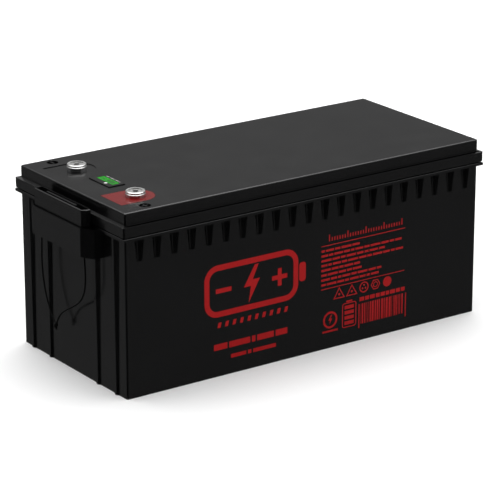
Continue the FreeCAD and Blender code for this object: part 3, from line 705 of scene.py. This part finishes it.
def make_emblem():
    """A battery sign: a rounded case with a cap, a bolt, and a minus and a plus."""
    ink = Ink()
    left, right, low, high = -149, -15, 74, 138
    middle_x, middle_y = (left + right) / 2, (low + high) / 2
    ink.band(rounded(left + 3.5, low + 3.5, right - 3.5, high - 3.5, 15), 7)
    ink.patch(*rounded(right + 1.5, middle_y - 12, right + 11, middle_y + 12, 3.5, 5))
    ink.patch(*bolt(middle_x, middle_y, 23))
    ink.bar(left + 16, middle_y - 2.8, left + 38, middle_y + 2.8)
    ink.bar(right - 38, middle_y - 2.8, right - 16, middle_y + 2.8)
    ink.bar(right - 29.8, middle_y + 2.8, right - 24.2, middle_y + 11)
    ink.bar(right - 29.8, middle_y - 11, right - 24.2, middle_y - 2.8)
    return ink.lay("front_emblem", on_front, "print_red")


def make_gauge():
    """Slanted charge bars and two dashed lines below the emblem."""
    ink = Ink()
    for number in range(10):
        left = -131 + number * 10.6
        ink.bar(left, 60.5, left + 4.4, 67, 1.5)
    dash_row(ink, -136, 33, 7.6, (19, 30, 5, 24, 17), 2.6)
    dash_row(ink, -112, 19.5, 4.8, (22, 5, 33), 2.4)
    return ink.lay("front_gauge", on_front, "print_red")


def dash_row(ink, left, low, height, lengths, gap):
    for length in lengths:
        ink.bar(left, low, left + length, low + height)
        left += length + gap


def make_notes():
    """A scale over a rule, eight rows of plain dashes and another rule."""
    ink = Ink()
    start, end = 19, 145
    for number in range(29):
        left = 30 + number * 3.9
        height = 8.2 if number % 7 == 0 else 4.6
        ink.bar(left, 136, left + 1.5, 136 + height)
    for low in (130.6, 76.2):
        ink.bar(start, low, end, low + 1)
    shares = (0.49, 0.96, 0.8, 0.98, 0.5, 0.48, 0.73, 0.72)
    for row, share in enumerate(shares):
        left = start
        low = 123.6 - row * 6.1
        row_end = start + (end - start) * share
        step = 0
        while left < row_end - 4:
            length = min(5 + (row * 5 + step * 7) % 11, row_end - left)
            ink.bar(left, low, left + length, low + 2.7)
            left += length + 1.5
            step += 1
    return ink.lay("front_notes", on_front, "print_red")


def make_symbols():
    """Two triangles, a dotted ring, a hexagon and a disc, over a badge and a small cell."""
    ink = Ink()
    level = 67.5
    for x in (46, 65):
        ink.band([(x - 7.5, level - 6), (x + 7.5, level - 6), (x, level + 6.5)], 1.3)
        ink.disc(x, level - 1.6, 1.5, 20)
    ink.ring(83.5, level, 6.2, 1.5)
    for number in range(3):
        angle = math.tau * number / 3 + math.pi / 2
        ink.disc(83.5 + 2.7 * math.cos(angle), level + 2.7 * math.sin(angle), 1.25, 16)
    ink.band(arc(101, level, 6.4, 0, math.tau, 6)[:-1], 1.3)
    ink.ring(101, level, 3.1, 1.1, 28)
    ink.disc(119, level, 6.4)
    ink.ring(33, 36, 9.4, 2.6)
    ink.patch(*bolt(33, 36, 6))
    ink.bar(21.5, 20.5, 44.5, 23)
    ink.band(rounded(51.5, 21.5, 71.5, 52, 2.5, 4), 1.3)
    ink.bar(57, 53.2, 66, 55.4)
    for number in range(4):
        low = 24.5 + number * 6.7
        ink.bar(54.5, low, 68.5, low + 4.4)
    return ink.lay("front_symbols", on_front, "print_red")


def make_stripes():
    """A row of blocks over a field of upright stripes of uneven width."""
    ink = Ink()
    dash_row(ink, 77, 50.4, 5, (7, 6, 7.5, 6, 6.5, 5, 8, 6, 6), 1.4)
    left = 79
    number = 0
    while left < 145:
        width = STRIPE_WIDTHS[(number * number + number // 3) % len(STRIPE_WIDTHS)]
        ink.bar(left, 21, left + width, 47)
        left += width + STRIPE_GAPS[(number * 3 + number // 4) % len(STRIPE_GAPS)]
        number += 1
    for edge in (75.6, 147):
        ink.bar(edge, 16, edge + 1.6, 47)
    return ink.lay("front_stripes", on_front, "print_red")


make_emblem()
make_gauge()
make_notes()
make_symbols()
make_stripes()


def make_display_marks():
    """The lit panel's charge sign and a line of small ticks on the frame beside it."""
    low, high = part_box("display_panel")
    middle = (low + high) / 2
    segments = Ink()
    segments.band([(-3.1, -13.5), (3.1, -13.5), (3.1, 2.5), (-3.1, 2.5)], 0.7)
    for number in range(4):
        start = -12.4 + number * 3.6
        segments.bar(-2.1, start, 2.1, start + 2.6)
    for number in range(3):
        segments.bar(-2.4, 5.4 + number * 3.4, 2.4, 7 + number * 3.4)

    def on_panel(x, y, height):
        return Vector((middle.x + x, middle.y + y, high.z + height))

    segments.lay("display_segments", on_panel, "lcd_dark")
    frame_low, frame_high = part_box("display_frame")
    ticks = Ink()
    for number in range(9):
        length = 2.0 + (number * 5) % 3
        ticks.bar(-0.45, -14 + number * 3.4, 0.45, -14 + number * 3.4 + length * 0.7)

    def on_frame(x, y, height):
        return Vector((frame_high.x - 2.0 * MM + x, middle.y + y, frame_high.z + height))

    ticks.lay("display_ticks", on_frame, "button_white")


make_display_marks()


# Studio ---------------------------------------------------------------------------------------

FLOOR_REACH = 30
BACKDROP = 0.98
# The middle of the black screen on the camera's side, a little to its left.
BLACK_SCREEN = (-0.71, -0.704, 0)
# Sky brightness by height in degrees above the horizon: to the sides, behind the battery, and in
# the strip between them.
HIGH_SKY = ((0, 0.195), (24, 0.2), (30, 0.75), (47, 0.75), (58, 0.1), (90, 0.05))
SIDE_SKY = ((-90, 0.145), (-3, 0.145), *HIGH_SKY)
DARK_SKY = ((-90, 0.01), (-8, 0.01), *HIGH_SKY)
BACK_SKY = ((-90, 0.6), (-8, 0.6), *HIGH_SKY)


def make_floor():
    mesh = bmesh.new()
    corners = ((-1, -1), (1, -1), (1, 1), (-1, 1))
    mesh.faces.new([mesh.verts.new((x * FLOOR_REACH, y * FLOOR_REACH, 0)) for x, y in corners])
    floor = finish_mesh("floor", mesh)
    made = Nodes("floor")
    made.set(Base_Color=(0.93, 0.93, 0.93, 1), Roughness=0.9, Specular_IOR_Level=0.1)
    floor.data.materials.append(made.material)
    floor.visible_glossy = False


def make_sky():
    """Soft panels: a black screen on the camera's side and a bright strip higher up."""
    world = bpy.data.worlds.new("studio")
    world.use_nodes = True
    bpy.context.scene.world = world
    tree = world.node_tree

    def add(kind, operation=None):
        made = tree.nodes.new(kind)
        if operation:
            made.operation = operation
        return made

    def spread(source, start, end, low, high, smooth=False):
        made = add("ShaderNodeMapRange")
        made.interpolation_type = "SMOOTHSTEP" if smooth else "LINEAR"
        names = ("From Min", "From Max", "To Min", "To Max")
        for socket, value in zip(names, (start, end, low, high)):
            made.inputs[socket].default_value = value
        tree.links.new(source, made.inputs["Value"])
        return made.outputs["Result"]

    def sky_ramp(height, stops):
        ramp = add("ShaderNodeValToRGB")
        elements = ramp.color_ramp.elements
        while len(elements) < len(stops):
            elements.new(0.5)
        for element, (degrees, level) in zip(elements, stops):
            element.position = degrees / 180 + 0.5
            element.color = (level, level, level, 1)
        tree.links.new(height, ramp.inputs["Fac"])
        return ramp.outputs["Color"]

    def blend(factor, first, second):
        made = add("ShaderNodeMix")
        made.data_type = "RGBA"
        for socket, value in (("Factor", factor), ("A", first), ("B", second)):
            if isinstance(value, tuple):
                made.inputs[socket].default_value = value
            else:
                tree.links.new(value, made.inputs[socket])
        return made.outputs["Result"]

    way = add("ShaderNodeTexCoord").outputs["Generated"]
    split = add("ShaderNodeSeparateXYZ")
    tree.links.new(way, split.inputs["Vector"])
    rise = add("ShaderNodeMath", "ARCSINE")
    tree.links.new(split.outputs["Z"], rise.inputs[0])
    height = spread(rise.outputs["Value"], -math.pi / 2, math.pi / 2, 0, 1)
    flat = add("ShaderNodeVectorMath", "MULTIPLY")
    flat.inputs[1].default_value = (1, 1, 0)
    tree.links.new(way, flat.inputs[0])
    level = add("ShaderNodeVectorMath", "NORMALIZE")
    tree.links.new(flat.outputs["Vector"], level.inputs[0])
    facing = add("ShaderNodeVectorMath", "DOT_PRODUCT")
    facing.inputs[1].default_value = BLACK_SCREEN
    tree.links.new(level.outputs["Vector"], facing.inputs[0])
    dark = spread(facing.outputs["Value"], -0.45, -0.62, 0, 1, smooth=True)
    behind = spread(facing.outputs["Value"], -0.86, -0.92, 0, 1, smooth=True)
    in_front = spread(facing.outputs["Value"], 0.3, 0.5, 0, 1, smooth=True)
    aside = blend(dark, sky_ramp(height, SIDE_SKY), sky_ramp(height, DARK_SKY))
    around_it = blend(behind, aside, sky_ramp(height, BACK_SKY))
    light = blend(in_front, around_it, (0.004, 0.004, 0.004, 1))
    seen = add("ShaderNodeLightPath").outputs["Is Camera Ray"]
    shown = blend(seen, light, (BACKDROP, BACKDROP, BACKDROP, 1))
    tree.links.new(shown, tree.nodes["Background"].inputs["Color"])


def add_lamp(name, place, target, size, power):
    lamp = bpy.data.lights.new(name, "AREA")
    lamp.shape = "DISK"
    lamp.size = size
    lamp.energy = power
    made = bpy.data.objects.new(name, lamp)
    made.location = place
    made.rotation_euler = (Vector(target) - Vector(place)).to_track_quat("-Z", "Y").to_euler()
    bpy.context.scene.collection.objects.link(made)


make_floor()
make_sky()
add_lamp("overhead", (0.2, 0.4, 3.0), (0, 0, 0), 5.6, 225)
bpy.context.scene.view_settings.view_transform = "Standard"
